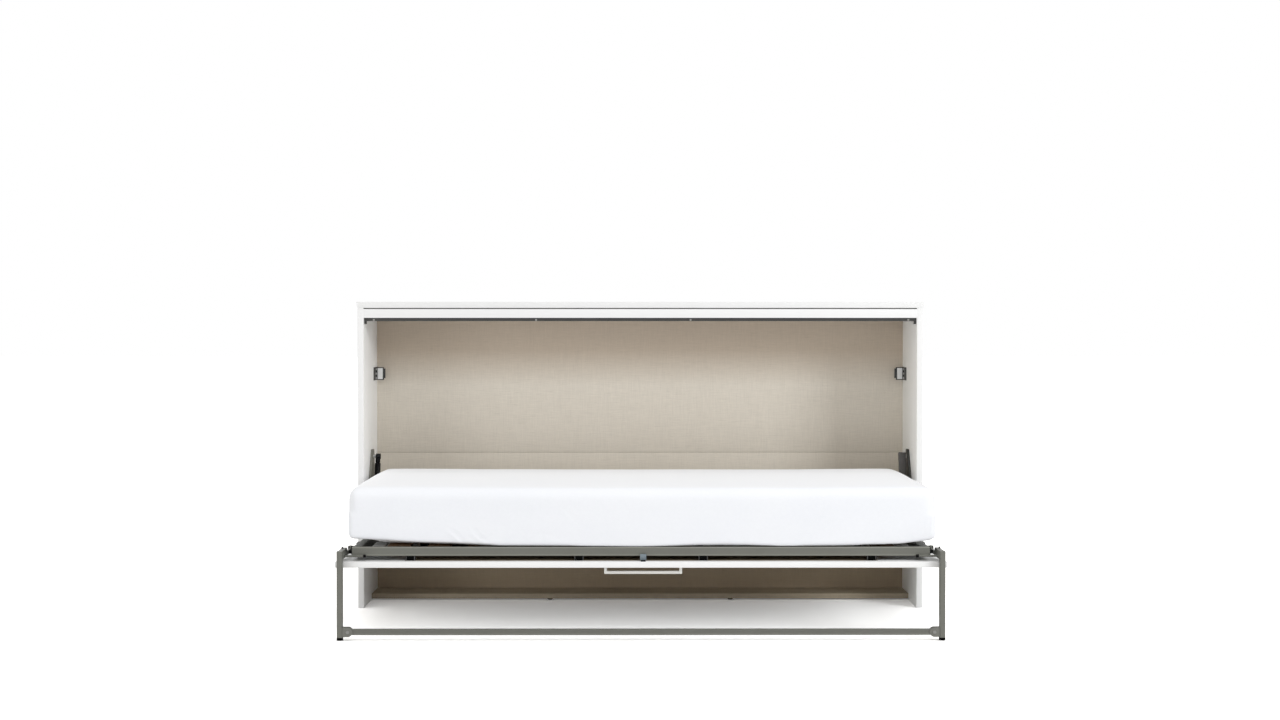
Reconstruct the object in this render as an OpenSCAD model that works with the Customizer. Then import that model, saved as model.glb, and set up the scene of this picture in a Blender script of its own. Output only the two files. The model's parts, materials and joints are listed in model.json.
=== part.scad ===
// Horizontal wall bed: a low cabinet whose front door carries a single bed.
// Drawn unfolded. Cabinet front plane is y = 0 here, the wall is at +y, floor z = 0.
// The last module moves everything so the box bottom centre is the origin.

/* [Cabinet] */
// outside width of the cabinet sides
cab_w = 2110; // [1900:2300]
// height of the top board's upper face
cab_h = 1144; // [1000:1300]
// thickness of a side panel
side_t = 22; // [18:28]
// overall depth of the side panels
cab_d = 405; // [380:480]
// thickness of the top board
top_t = 23; // [18:30]
// how far the top board stands out past sides and front
top_over = 5; // [0:15]
// how far its edges lean in towards the underside
top_lean = 5; // [0:10]
// height of the shadow gap under the top board
gap_t = 4; // [2:6]
// how far the strip in that gap is set back
gap_back = 6; // [4:10]
// height of the fixed fascia over the door
fascia_h = 33; // [25:60]
// thickness of fascia and back panels
board_t = 18; // [12:22]
// height of the joint between the two back panels
back_split = 557; // [400:800]
// thickness of the low board behind the bed
base_t = 19; // [15:25]
// front edge of the low board
base_y = 214; // [150:260]
// height of the pads under the low board
base_gap = 5; // [2:12]
// distance of the pads from the middle
pad_x = 347; // [200:600]
// radius of a pad
pad_r = 10; // [8:16]

/* [Stop rail and brackets] */
// height of the steel rail the closed door rests on
rail_h = 12; // [8:20]
// depth of that rail
rail_d = 24; // [15:40]
// gap between the closed door and that rail
rail_gap = 1.5; // [1:0.5:3]
// height of the wall brackets
wb_h = 50; // [30:80]
// middle height of the wall brackets
wb_z = 868; // [600:1000]
// width of the plate that faces forward
wb_w = 33; // [20:50]
// distance of that plate from the back
wb_d = 47; // [30:90]
// depth of the plate on the side panel
wb_l = 105; // [60:140]

/* [Door] */
// gap between the door panel and a side panel
door_gap = 3; // [2:5]
// gap between the closed door and the fascia
door_clear = 8; // [4:12]
// gap between the closed door and the floor
door_foot = 12; // [6:30]
// thickness of the door panel
door_t = 19.5; // [16:22]
// width of the handle
handle_w = 264; // [150:400]
// how far handle and catch lie to the right of the middle
handle_x = 7; // [-20:20]
// how far the handle stands out
handle_out = 26; // [18:40]
// thickness of the handle bar
handle_t = 9.5; // [6:0.5:12]
// depth of the handle bar
handle_d = 12; // [8:20]
// outer radius of the handle's corners
handle_r = 3; // [1:5]
// distance from the door's front edge to the handle
handle_back = 40; // [20:120]

/* [Bed frame] */
// space between the steel frame's end and the side panel
frame_gap = 56; // [50:70]
// section of the square tubes
tube = 30; // [20:40]
// wall of the square tubes
tube_wall = 2; // [1.5:2.5]
// outer corner radius of the tubes
tube_r = 3; // [2.6:0.1:4]
// underside of the steel frame
frame_z = 276; // [265:290]
// height of the blocks between the frame and the door
spacer_h = 15.5; // [12:20]
// width of those blocks
spacer_w = 30; // [20:40]
// distance of the inner blocks from the middle
spacer_in = 210; // [120:400]
// distance of the outer blocks from the middle
spacer_out = 780; // [500:860]
// set back of the frame from the door's front edge
frame_back = 38; // [30:60]
// rear face of the steel frame
frame_y1 = 203; // [180:220]
// number of slats
slat_n = 13; // [8:18]
// width of a slat
slat_w = 76; // [50:90]
// thickness of a slat
slat_t = 8; // [6:12]
// rise of a slat between its ends
slat_bow = 6; // [2:10]
// distance of the last slat's middle from the frame's end
slat_edge = 150; // [120:220]
// width of the grey bars beyond the last slats
bar_w = 42; // [30:44]
// distance of those bars from the frame's end
bar_edge = 63; // [50:64]
// thickness of those bars
bar_t = 4; // [3:6]

/* [Mattress] */
// space between the mattress and the side panel
mat_gap = 43; // [40:60]
// height of the mattress
mat_h = 197; // [140:200]
// roundness of the ends, seen from the front
mat_end = 60; // [50:200]
// roundness of the long edges
mat_edge = 58; // [30:90]
// height of the roundness of the upper edges
mat_round = 50; // [40:90]
// radius of the lower edges
mat_low = 22; // [20:40]
// how far the lower corners are drawn up
mat_lift = 24; // [0:30]

/* [Pivot and lift] */
// radius of the pivot pin
pivot_r = 8; // [6:10]
// thickness of the lift plate on the side
lift_t = 8; // [5:8]
// distance of the strut's upper end behind the cabinet front
strut_uy = 220; // [200:240]
// height of the strut's upper end
strut_uz = 553; // [530:570]
// distance of the strut's lower end behind the pivot
strut_by = 88; // [80:95]
// distance of the strut's lower end below the pivot
strut_bz = 15; // [8:16]
// space between the strut's middle and the side panel
strut_gap = 25; // [24:26]
// radius of the strut's cylinder
strut_r = 11; // [8:11]
// radius of the strut's rod
rod_r = 5; // [4:6]
// length of the rod outside the cylinder with the bed down
rod_out = 59; // [50:90]
// distance from the strut's upper end to the rod's top with the bed down
rod_deep = 63; // [55:80]
// length of solid metal at the cylinder's upper end
strut_plug = 45; // [36:50]
// radius of the round ends on the strut
eye_r = 10.5; // [9:12]

/* [Leg] */
// space between the leg frame and the side panel's plane
leg_gap = 14; // [12:16]
// width of an upright
leg_t = 18; // [12:18]
// depth of an upright
leg_d = 32; // [25:35]
// how far the leg's top lies below the frame's top
leg_sink = 7; // [4:9]
// height of the upper arm
arm_h = 30; // [24:34]
// length of the upper arm
arm_l = 127; // [110:160]
// pivot of the leg behind the upright's middle
leg_a = 212; // [208:220]
// depth of the leg's pivot below the leg's top
leg_drop = 15; // [14:16]
// thickness of the lug on that pivot
lug_t = 6; // [4:8]
// radius of the lug
lug_r = 11; // [10:14]
// radius of the leg's pivot pin
leg_pin_r = 6; // [5:8]
// section of the cross bar
bar_s = 20; // [16:25]
// underside of the cross bar
bar_z = 18; // [15:40]
// distance of the cross bar's ends from the uprights
bar_end = 12; // [10:16]
// thickness of the fork plates at those ends
fork_t = 3; // [2:4]
// height of the foot cap
cap_h = 10; // [6:14]
// radius of the foot pad
foot_r = 11; // [9:14]
// height of the foot pad
foot_h = 5; // [3:6]
// length of the round bars inside the uprights
stop_l = 62; // [40:80]
// length of the tips on those bars
tip_l = 8; // [6:12]

/* [Fits] */
// radial clearance of a pin that turns or slides
run = 0.05; // [0.02:0.01:0.09]
// gap between parts that pass each other
free = 1; // [0.5:0.5:2]
// gap under the slats, where they lie on the trays and the middle rail
lie = 0.3; // [0.2:0.1:0.6]

/* [Hidden] */
$fn = 48;
in_half = cab_w / 2 - side_t;
top_z = cab_h - top_t;
side_top = top_z - gap_t;
fascia_z = side_top - fascia_h;
rail_y = max(board_t, door_t) + rail_gap;
back_y = cab_d - board_t;
door_top = frame_z - spacer_h;
door_z = door_top - door_t;
frame_top = frame_z + tube;
// the pivot lies at the middle of the end rail, as far behind the front as above the door
pivot_z = frame_z + tube / 2;
pivot_y = pivot_z - door_z;
door_half = in_half - door_gap;
door_y0 = pivot_y + pivot_z - fascia_z + door_clear;
door_y1 = pivot_y + pivot_z - door_foot;
frame_half = in_half - frame_gap;
frame_y0 = door_y0 + frame_back;
centre_y = (frame_y0 + frame_y1) / 2;
mat_half = in_half - mat_gap;
mat_z = frame_top + 2;
slat_z = mat_z - slat_t;
slat_y0 = frame_y0 + tube + 2;
slat_y1 = frame_y1 - tube - 2;
slat_half = frame_half - slat_edge;
slat_step = 2 * slat_half / (slat_n - 1);
slat_reach = (slat_y1 - slat_y0) / 2;
slat_r = (slat_reach * slat_reach + slat_bow * slat_bow) / (2 * slat_bow);
lift_x = in_half - lift_t;
strut_x = in_half - strut_gap;
low_y = pivot_y + strut_by;
low_z = pivot_z - strut_bz;
strut_len = norm([low_y - strut_uy, low_z - strut_uz]);
strut_body = strut_len - rod_out;
rod_len = strut_len - rod_deep;
strut_tilt = atan2(low_y - strut_uy, strut_uz - low_z);
leg_half = in_half - leg_gap;
leg_in = leg_half - leg_t;
leg_y0 = door_y0 - free - leg_d;
leg_h = frame_top - leg_sink;
leg_z = leg_h - leg_drop;
bolt_y = leg_y0 + leg_d / 2;
leg_py = bolt_y + leg_a;
bar_half = leg_in - bar_end;
mid_y = (leg_y0 + cab_d) / 2;
white = [0.93, 0.93, 0.92];
beige = [0.72, 0.68, 0.62];
grey = [0.46, 0.47, 0.44];
dark = [0.2, 0.2, 0.2];
black = [0.06, 0.06, 0.06];
beech = [0.6, 0.42, 0.26];

// a box from its low corner to its high corner
module block(a, b) {
  translate(a) cube([b[0] - a[0], b[1] - a[1], b[2] - a[2]]);
}
// both mirror images in x
module pair() {
  children();
  mirror([1, 0, 0]) children();
}
// a round bar along x between two x values, at depth y and height z
module xrod(x0, x1, y, z, r) {
  translate([x0, y, z]) rotate([0, 90, 0]) cylinder(r = r, h = x1 - x0);
}
// a rectangle with round corners, from its low corner
module rounded(w, h, r) {
  translate([r, 0]) square([w - 2 * r, h]);
  translate([0, r]) square([w, h - 2 * r]);
  for (x = [r, w - r], y = [r, h - r]) translate([x, y]) circle(r = r);
}
// the section of a drawn tube
module tube_section(w, h, wall = tube_wall) difference() {
  rounded(w, h, tube_r);
  translate([wall, wall]) rounded(w - 2 * wall, h - 2 * wall, tube_r - wall);
}
// a tube along x from its low corner
module xtube(x0, x1, y, z, w = tube, h = tube)
  translate([x0, y, z]) rotate([90, 0, 90]) linear_extrude(x1 - x0) tube_section(w, h);
// a tube along y from its low corner
module ytube(x, y0, y1, z, w = tube, h = tube)
  translate([x, y1, z]) rotate([90, 0, 0]) linear_extrude(y1 - y0) tube_section(w, h);
// a plate across x, from its outline in depth and height
module xplate(x0, x1) translate([x0, 0, 0]) rotate([90, 0, 90]) linear_extrude(x1 - x0)
  children();
// everything that belongs to one strut, drawn along its own axis from its upper end
module on_strut() {
  translate([0, strut_uy, strut_uz]) rotate([strut_tilt, 0, 0]) children();
}

// the cabinet

module side() {
  block([in_half, 0, 0], [cab_w / 2, cab_d, top_z]);
}
module side_right() { color(white) shift() side(); }
module side_left() { color(white) shift() mirror([1, 0, 0]) side(); }

// the board's ends and front lean in towards its underside
module top_board() color(white) shift() {
  w = cab_w / 2 + top_over;
  l = w - top_lean;
  intersection() {
    translate([0, cab_d, 0]) rotate([90, 0, 0]) linear_extrude(cab_d + top_over)
      polygon([[-w, cab_h], [w, cab_h], [l, top_z], [-l, top_z]]);
    xplate(-w, w) polygon([[-top_over, cab_h], [cab_d, cab_h], [cab_d, top_z],
      [top_lean - top_over, top_z]]);
  }
}
// a ring set back between the sides, under the top board, leaves the dark line
module gap_strip() color(dark) shift() translate([0, 0, side_top])
  linear_extrude(gap_t) difference() {
    t = board_t / 2;
    translate([-in_half, gap_back]) square([2 * in_half, cab_d - 2 * gap_back]);
    translate([t - in_half, gap_back + t])
      square([2 * (in_half - t), cab_d - 2 * (gap_back + t)]);
  }
module fascia() color(white) shift()
  block([-in_half, 0, fascia_z], [in_half, board_t, side_top]);

// the rail is a folded strip with a short hook at each end
module stop_rail() color(dark) shift() {
  y = rail_y;
  z = fascia_z - rail_h;
  xplate(-in_half, in_half)
    polygon([[y, z], [y + rail_d, z], [y + rail_d, z + 3], [y + 3, z + 3],
      [y + 3, side_top - 8], [y, side_top - 8]]);
  pair() block([in_half - 9, y, z - 11], [in_half, y + rail_d / 2, z + 3]);
}
// flat round heads low on the rail's face, thin enough for the closed door
module rail_screws() color([0.75, 0.75, 0.75]) shift()
  for (x = [-0.965, -0.3775, 0.182, 0.971])
    translate([x * in_half, rail_y, fascia_z - rail_h * 0.64]) rotate([90, 0, 0])
      cylinder(r = rail_h / 3, h = rail_gap / 2, $fn = 12);
module back_upper() color(beige) shift()
  block([-in_half, back_y, back_split + 1], [in_half, cab_d, side_top]);
module back_lower() color(beige) shift()
  block([-in_half, back_y, base_gap], [in_half, cab_d, back_split]);
module base_board() color(beige) shift()
  block([-in_half, base_y, base_gap], [in_half, back_y, base_gap + base_t]);
module base_feet() color(black) shift()
  for (x = [-pad_x, pad_x], y = [base_y + 2 + pad_r, back_y - 30 - pad_r])
    translate([x, y, 0]) cylinder(r = pad_r, h = base_gap, $fn = 12);

// folded plates in the rear corners that hold the cabinet to the wall
module wall_brackets() color(dark) shift() pair() {
  z0 = wb_z - wb_h / 2;
  z1 = wb_z + wb_h / 2;
  y0 = back_y - wb_d;
  difference() {
    block([in_half - wb_w, y0, z0], [in_half - 3, y0 + 3, z1]);
    insert_block(-1, 4);
  }
  block([in_half - 3, back_y - wb_l, z0], [in_half, back_y, z1]);
  block([in_half - wb_w, back_y - 3, z0 + wb_h / 8], [in_half - 3, back_y, z1 - wb_h / 8]);
}
// the window in the plate that faces forward, between two depths from that plate
module insert_block(a, b, w = 0.61, h = 0.86) translate([in_half - wb_w * (0.545 + w / 2),
    back_y - wb_d + a, wb_z - h * wb_h / 2]) cube([w * wb_w, b - a, h * wb_h]);
module bracket_inserts() color(white) shift() pair() difference() {
  insert_block(-1, 3);
  insert_block(-2, 0, 0.04, 0.56);
}
module bracket_screws() color([0.75, 0.75, 0.75]) shift() pair()
  for (z = [-0.34, 0, 0.34])
    translate([in_half - 6, back_y - 0.55 * wb_l, wb_z + z * wb_h]) rotate([0, 90, 0])
      cylinder(r = wb_h / 12, h = 3, $fn = 12);

// tapered plates on the insides of the cabinet, from the pivot up to the strut's end
module lift_plates() color(grey) shift() pair() xplate(lift_x, in_half) {
  uy = strut_uy;
  uz = strut_uz;
  py = pivot_y;
  pz = pivot_z;
  polygon([[uy - 28, uz + 14], [uy - 16, uz + 27], [uy + 20, uz + 27],
    [uy + 39, uz - 83], [uy + 42, pz + 39], [py + 70, pz - 23], [py + 10, pz - 23],
    [py - 10, pz - 19], [py - 20, pz - 7], [py - 20, pz + 9], [py + 6, pz + 49],
    [py + 81, uz - 83]]);
}
// low heads of the screws that hold the plates
module plate_screws() color([0.75, 0.75, 0.75]) shift() pair()
  for (q = [[1.15, 0.77], [1.15, 0.43], [0.12, 0.15], [0.93, 0.14]])
    translate([lift_x - 2, pivot_y + q[0] * (strut_uy - pivot_y),
        pivot_z + q[1] * (strut_uz - pivot_z)]) rotate([0, 90, 0]) cylinder(r = 5, h = 2, $fn = 12);
module pivot_pins() color([0.6, 0.6, 0.6]) shift() pair()
  xrod(frame_half + 8, lift_x, pivot_y, pivot_z, pivot_r);
// the stud's end sits in the strut's end; its collar keeps it off the plate
module upper_studs() color([0.55, 0.55, 0.55]) shift() pair() {
  xrod(strut_x - 3, strut_x + 8, strut_uy, strut_uz, rod_r);
  xrod(strut_x + 8, strut_x + 10, strut_uy, strut_uz, 7);
  translate([strut_x + 10, strut_uy, strut_uz]) rotate([0, 90, 0])
    cylinder(r1 = 5, r2 = 7, h = lift_x - strut_x - 10);
  translate([lift_x - 4, strut_uy, strut_uz]) rotate([0, 90, 0])
    cylinder(r = 9, h = 4, $fn = 6);
}

// the door and the bed frame that it carries

module door_panel() color(white) shift()
  block([-door_half, door_y0, door_z], [door_half, door_y1, door_top]);

// a flat bow with small radii on its outer corners
module handle() color([0.86, 0.86, 0.83]) shift() {
  w = handle_w / 2;
  h = handle_out;
  r = handle_r;
  translate([handle_x, door_y0 + handle_back + handle_d, door_z]) rotate([90, 0, 0])
    linear_extrude(handle_d) intersection() {
      difference() {
        translate([-w, -h]) rounded(2 * w, h + r, r);
        translate([handle_t - w, handle_t - h]) square([2 * (w - handle_t), h + r]);
      }
      translate([-w, -h]) square([2 * w, h]);
    }
}
module spacers() color(black) shift()
  for (x = [-spacer_out, -spacer_in, spacer_in, spacer_out],
      y = [frame_y0, centre_y - tube / 2, frame_y1 - tube])
    block([x - spacer_w / 2, y, door_top], [x + spacer_w / 2, y + tube, frame_z]);
module front_rail() color(grey) shift() xtube(-frame_half, frame_half, frame_y0, frame_z);
module rear_rail() color(grey) shift()
  xtube(-frame_half, frame_half, frame_y1 - tube, frame_z);
module end_rails() color(grey) shift() pair()
  ytube(frame_half - tube, frame_y0 + tube, frame_y1 - tube, frame_z);
// the middle rail stands lower, so the slats rest on it
module centre_rail() color(grey) shift()
  xtube(tube - frame_half, frame_half - tube, centre_y - tube / 2, frame_z,
    tube, slat_z - frame_z - lie);
// grey bars beyond the last slats
module end_bars() color([0.66, 0.66, 0.64]) shift() pair()
  block([frame_half - bar_edge - bar_w, frame_y0 + tube, slat_z],
    [frame_half - bar_edge, frame_y1 - tube, slat_z + bar_t]);
// flat caps, the front ones with a buffer beside the leg's arm
module tube_caps() color(black) shift() pair() {
  for (y = [frame_y0, frame_y1 - tube])
    block([frame_half, y + 1, frame_z + 1], [frame_half + 2, y + tube - 1, frame_top - 1]);
  block([frame_half + 2, frame_y0 + tube / 5, frame_z + tube / 4],
    [frame_half + tube * 0.4, frame_y0 + tube * 0.8, frame_z + tube * 0.64]);
}
// sprung slats, bowed upwards between their ends
module slats() color(beech) shift() for (i = [0 : slat_n - 1]) {
  x = i * slat_step - slat_half;
  xplate(x - slat_w / 2, x + slat_w / 2) intersection() {
    translate([centre_y, mat_z - slat_r]) difference() {
      circle(r = slat_r, $fn = 720);
      circle(r = slat_r - slat_t, $fn = 720);
    }
    translate([slat_y0, slat_z - slat_bow - 2])
      square([slat_y1 - slat_y0, slat_t + slat_bow + 4]);
  }
}
// each slat's end lies in a shallow tray on the rail's inner face
module slat_holders() color(dark) shift() for (i = [0 : slat_n - 1]) {
  x = i * slat_step - slat_half;
  w = slat_w / 2;
  z = slat_z - slat_bow - lie;
  for (y = [frame_y0 + tube, frame_y1 - tube - 20])
    translate([x, y + 20, 0]) rotate([90, 0, 0]) linear_extrude(20)
      polygon([[-w - 4, z - 6], [w + 4, z - 6], [w + 4, z + 5], [w + 1, z + 5],
        [w + 1, z], [-w - 1, z], [-w - 1, z + 5], [-w - 4, z + 5]]);
}

// spring catch under the middle of the front rail
module catch_body() color([0.4, 0.44, 0.46]) shift() translate([handle_x, 0, 0]) {
  y = frame_y0;
  block([-10.5, y - 9, door_top + 3], [10.5, y, frame_z + 7]);
  for (x = [-6, 6]) translate([x, y - 9, frame_z - 3]) rotate([90, 0, 0])
    cylinder(r = 2.2, h = 1);
}
// a flat pad that runs out almost to the door's edge
module catch_pad() color(black) shift() translate([handle_x, 0, 0])
  block([-8, door_y0 + door_clear, door_top], [8, frame_y0 - 1, door_top + 3]);

// flanged bushes on the frame's ends turn on the pivot pins
module pivot_bosses() color(dark) shift() pair() difference() {
  union() {
    block([frame_half, pivot_y - tube, frame_z], [frame_half + 4, pivot_y + tube, frame_top]);
    xrod(frame_half + 4, lift_x - 2 * free, pivot_y, pivot_z, 12);
  }
  xrod(frame_half - 1, lift_x, pivot_y, pivot_z, pivot_r + run);
}
module lower_studs() color([0.55, 0.55, 0.55]) shift() pair() {
  block([frame_half, low_y - tube / 2, frame_z - spacer_h / 2],
    [frame_half + 4, low_y + tube / 2, frame_top - 2]);
  xrod(frame_half + 4, strut_x - 6 - free, low_y, low_z, 4.5);
}
// plate, spacer and headed pin for each side of the leg
module leg_hinges() color(dark) shift() pair() {
  block([frame_half, leg_py - 0.8 * tube, frame_z + 2],
    [frame_half + 4, leg_py + 0.8 * tube, frame_top]);
  xrod(frame_half + 4, leg_in - free, leg_py, leg_z, 10);
  xrod(leg_in - free, leg_in + lug_t + free, leg_py, leg_z, leg_pin_r);
  xrod(leg_in + lug_t + free, leg_in + lug_t + 5, leg_py, leg_z, 10);
}
// round bars that keep the open leg's uprights apart, just ahead of the front rail
module leg_stops() color(grey) shift() pair()
  xrod(leg_in - free - stop_l, leg_in - free, frame_y0 - 7, frame_z + 1, 3.5);
module stop_tips() color(black) shift() pair() {
  x = leg_in - free - stop_l;
  xrod(x - tip_l, x, frame_y0 - 7, frame_z + 1, 5);
  block([x - tip_l, frame_y0 - 7, frame_z], [x, frame_y0, frame_z + 5]);
}
// soft block: flat ellipsoids at the top corners, smaller ones below, where the
// corners are drawn up from the flat that lies on the slats
module mattress() color([0.96, 0.96, 0.97]) shift() hull() {
  y0 = frame_y0;
  y1 = frame_y1;
  for (s = [-1, 1], y = [y0 + mat_edge, y1 - mat_edge])
    translate([s * (mat_half - mat_end), y, mat_z + mat_h - mat_round])
      scale([mat_end, mat_edge, mat_round]) rotate([90, 0, 0]) sphere(r = 1, $fn = 36);
  for (y = [y0 + mat_low + 4, y1 - mat_low - 4]) {
    pair() translate([mat_half - mat_low - 4, y, mat_z + mat_low + mat_lift])
      sphere(r = mat_low, $fn = 24);
    xrod(-mat_half / 4, mat_half / 4, y, mat_z + mat_low, mat_low, $fn = 24);
  }
  f = 2.5 * mat_edge;
  block([f - mat_half, y0 + f, mat_z], [mat_half - f, y1 - f, mat_z + 1]);
}

// the leg frame

// upright and arm of drawn tube, and the lug that turns on the bed's pin
module leg_side() {
  w = 1.5;
  z = leg_h - arm_h;
  y1 = leg_y0 + arm_l;
  difference() {
    union() {
      translate([leg_in, leg_y0, cap_h]) linear_extrude(leg_h - cap_h)
        rounded(leg_t, leg_d, tube_r);
      translate([leg_in, y1, z]) rotate([90, 0, 0]) linear_extrude(arm_l - leg_d / 2)
        rounded(leg_t, arm_h, tube_r);
    }
    translate([leg_in + w, leg_y0 + w, cap_h - 1]) linear_extrude(leg_h - cap_h - 2)
      rounded(leg_t - 2 * w, leg_d - 2 * w, tube_r - w);
    translate([leg_in + w, y1 + 1, z + w]) rotate([90, 0, 0])
      linear_extrude(arm_l - leg_d + 1) rounded(leg_t - 2 * w, arm_h - 2 * w, tube_r - w);
  }
  xplate(leg_in, leg_in + lug_t) difference() {
    union() {
      translate([y1 - 20, leg_z - lug_r]) square([leg_py - y1 + 20, 1.2 * lug_r]);
      translate([leg_py, leg_z]) circle(r = lug_r);
    }
    translate([leg_py, leg_z]) circle(r = leg_pin_r + run);
  }
}
module leg_right() { color(grey) shift() leg_side(); }
module leg_left() { color(grey) shift() mirror([1, 0, 0]) leg_side(); }
module cross_bar() color(grey) shift()
  xtube(-bar_half, bar_half, bolt_y - bar_s / 2, bar_z, bar_s, bar_s);
// short forked plates with round ends that take the bar's ends
module bar_brackets() color([0.62, 0.62, 0.6]) shift() pair() {
  x = bar_half - bar_end / 2;
  y0 = bolt_y - bar_s / 2 - fork_t;
  z = bar_z + bar_s / 2;
  h = bar_s / 2 + 2 * fork_t;
  for (s = [0, 1]) translate([0, y0 + fork_t + s * (bar_s + fork_t), 0])
    rotate([90, 0, 0]) linear_extrude(fork_t) {
      translate([x, z - h]) square([leg_in - fork_t - x, 2 * h]);
      translate([x, z]) circle(r = h);
    }
  block([leg_in - fork_t, y0, z - h], [leg_in, y0 + bar_s + 2 * fork_t, z + h]);
}
module bar_bolts() color([0.72, 0.72, 0.7]) shift() pair()
  translate([bar_half - bar_end / 2, bolt_y - bar_s / 2 - fork_t, bar_z + bar_s / 2])
    rotate([90, 0, 0]) cylinder(r = 6, h = leg_d / 2 - bar_s / 2 - fork_t, $fn = 6);
// a sleeve under the upright and a round pad under that
module foot_caps() color(black) shift() pair() {
  translate([leg_in, leg_y0, foot_h]) linear_extrude(cap_h - foot_h)
    rounded(leg_t, leg_d, tube_r);
  translate([leg_in + leg_t / 2, bolt_y, 0]) cylinder(r = foot_r, h = foot_h);
}
// small catches near the arms' ends
module leg_hooks() color(black) shift() pair() {
  y = leg_y0 + arm_l - lug_r - 16;
  x = leg_half - 5;
  block([x - 3, y - 3, leg_h], [x + 3, y + 11, leg_h + 1.5]);
  translate([x, y, leg_h + 1.5]) cylinder(r = 2.5, h = 4, $fn = 12);
}

// the lift struts

// tube with a round end that holds the stud, bored for the rod
module cylinder_body() on_strut() {
  difference() {
    union() {
      xrod(strut_x - 10, strut_x + 7, 0, 0, eye_r);
      translate([strut_x, 0, -30]) cylinder(r = 7, h = 8);
      translate([strut_x, 0, -25]) cylinder(r = eye_r - 1.5, h = 17);
      translate([strut_x, 0, -strut_body]) cylinder(r = strut_r, h = strut_body - 28);
    }
    xrod(strut_x - 3 - free, strut_x + 9, 0, 0, rod_r + run);
    translate([strut_x, 0, -strut_body - 1]) cylinder(r = rod_r + run, h = strut_body - strut_plug + 1);
  }
}
module cylinder_right() color(black) shift() cylinder_body();
module cylinder_left() color(black) shift() mirror([1, 0, 0]) cylinder_body();
// folded cover on the front of the right strut
module strut_cover() color([0.3, 0.29, 0.28]) shift() on_strut()
  translate([0, 0, -120]) linear_extrude(132) {
    x = strut_x - strut_r - 3;
    translate([x, -strut_r - 2]) square([strut_r * 2 + 6, 2]);
    translate([x, -strut_r]) square([2, strut_r + 6]);
  }
module rod_body() on_strut() {
  translate([strut_x, 0, -strut_len]) cylinder(r = rod_r, h = rod_len);
  difference() {
    xrod(strut_x - 6, strut_x + 6, 0, -strut_len, 8);
    translate([strut_x, 0, -strut_len]) cylinder(r = rod_r, h = 20);
  }
}
module rod_right() color([0.75, 0.75, 0.76]) shift() rod_body();
module rod_left() color([0.75, 0.75, 0.76]) shift() mirror([1, 0, 0]) rod_body();

// from cabinet coordinates to the part's own frame
module shift() { translate([0, -mid_y, 0]) children(); }

side_left();
side_right();
top_board();
gap_strip();
fascia();
stop_rail();
rail_screws();
back_upper();
back_lower();
base_board();
base_feet();
wall_brackets();
bracket_inserts();
bracket_screws();
lift_plates();
plate_screws();
pivot_pins();
upper_studs();
door_panel();
handle();
spacers();
front_rail();
rear_rail();
end_rails();
centre_rail();
end_bars();
tube_caps();
slats();
slat_holders();
catch_body();
catch_pad();
pivot_bosses();
lower_studs();
leg_hinges();
leg_stops();
stop_tips();
mattress();
leg_left();
leg_right();
cross_bar();
bar_brackets();
bar_bolts();
foot_caps();
leg_hooks();
cylinder_left();
cylinder_right();
strut_cover();
rod_left();
rod_right();
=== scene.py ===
import json
import math

import bmesh
import bpy
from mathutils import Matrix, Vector, noise


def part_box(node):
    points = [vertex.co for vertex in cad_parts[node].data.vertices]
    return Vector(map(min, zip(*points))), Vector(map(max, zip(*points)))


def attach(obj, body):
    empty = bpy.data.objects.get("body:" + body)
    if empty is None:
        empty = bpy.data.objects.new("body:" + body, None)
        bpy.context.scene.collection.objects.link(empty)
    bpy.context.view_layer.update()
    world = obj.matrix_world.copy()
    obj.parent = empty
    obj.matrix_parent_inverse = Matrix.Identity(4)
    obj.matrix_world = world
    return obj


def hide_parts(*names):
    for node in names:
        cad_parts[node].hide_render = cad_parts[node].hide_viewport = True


# Finishes, lights and soft goods for a low wall bed that is let down from its cabinet.
# Everything is in metres: the wall is at +Y and the bed comes down towards -Y.

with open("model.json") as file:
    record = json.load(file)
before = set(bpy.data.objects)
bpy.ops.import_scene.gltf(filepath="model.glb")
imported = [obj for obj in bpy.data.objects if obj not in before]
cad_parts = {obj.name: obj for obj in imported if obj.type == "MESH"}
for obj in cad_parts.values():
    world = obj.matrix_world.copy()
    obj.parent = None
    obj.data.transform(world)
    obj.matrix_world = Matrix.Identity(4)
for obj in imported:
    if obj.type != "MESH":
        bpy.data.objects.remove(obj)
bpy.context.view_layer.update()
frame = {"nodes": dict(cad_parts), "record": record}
nodes = frame["nodes"]
scene = bpy.context.scene
scene.view_settings.view_transform = "Standard"


# Camera and room

SENSOR_WIDTH = 36.0            # millimetres, as the next one
FOCAL_LENGTH = 54.87
CAMERA_PLACE = (-0.026, -7.0985, 1.052)
CAMERA_TILT = 89.015           # degrees up from looking straight down
CAMERA_TURN = -0.194           # degrees round the vertical
FAR_LIMIT = 200.0              # the camera sees nothing beyond

COOL = (0.955, 0.98, 1.0)      # the colour of every lamp
# name, place, the point that it is aimed at, width, height, power in watts
PANELS = (
    ("key", (6.0, -5.2, 3.4), (0.0, 0.0, 0.55), 2.6, 2.6, 236.0),
    ("left", (-6.3, -5.4, 1.15), (0.0, 0.0, 0.4), 3.0, 1.9, 90.0),
    ("front_fill", (-1.8, -8.6, 3.3), (0.0, 0.0, 0.5), 4.5, 2.4, 12.0),
)
SUN_FROM = (0.03, -0.12, 1.0)  # where the broad light overhead comes from
SUN_SPREAD = 60.0              # degrees
SUN_STRENGTH = 1.10

PURE_WHITE = (1.0, 1.0, 1.0, 1.0)
WORLD_TONE = (1.0, 0.965, 0.91, 1.0)
WORLD_STRENGTH = 0.64
FLOOR_REACH = 60.0             # from the middle to each side
FLOOR_DROP = 0.0005            # the floor lies this much below what stands on it
FLOOR_TONE = 0.88              # as the floor lights the bed
FLOOR_SEEN_TONE = 1.41         # as the camera sees it
FLOOR_GLOW = 0.115


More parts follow.
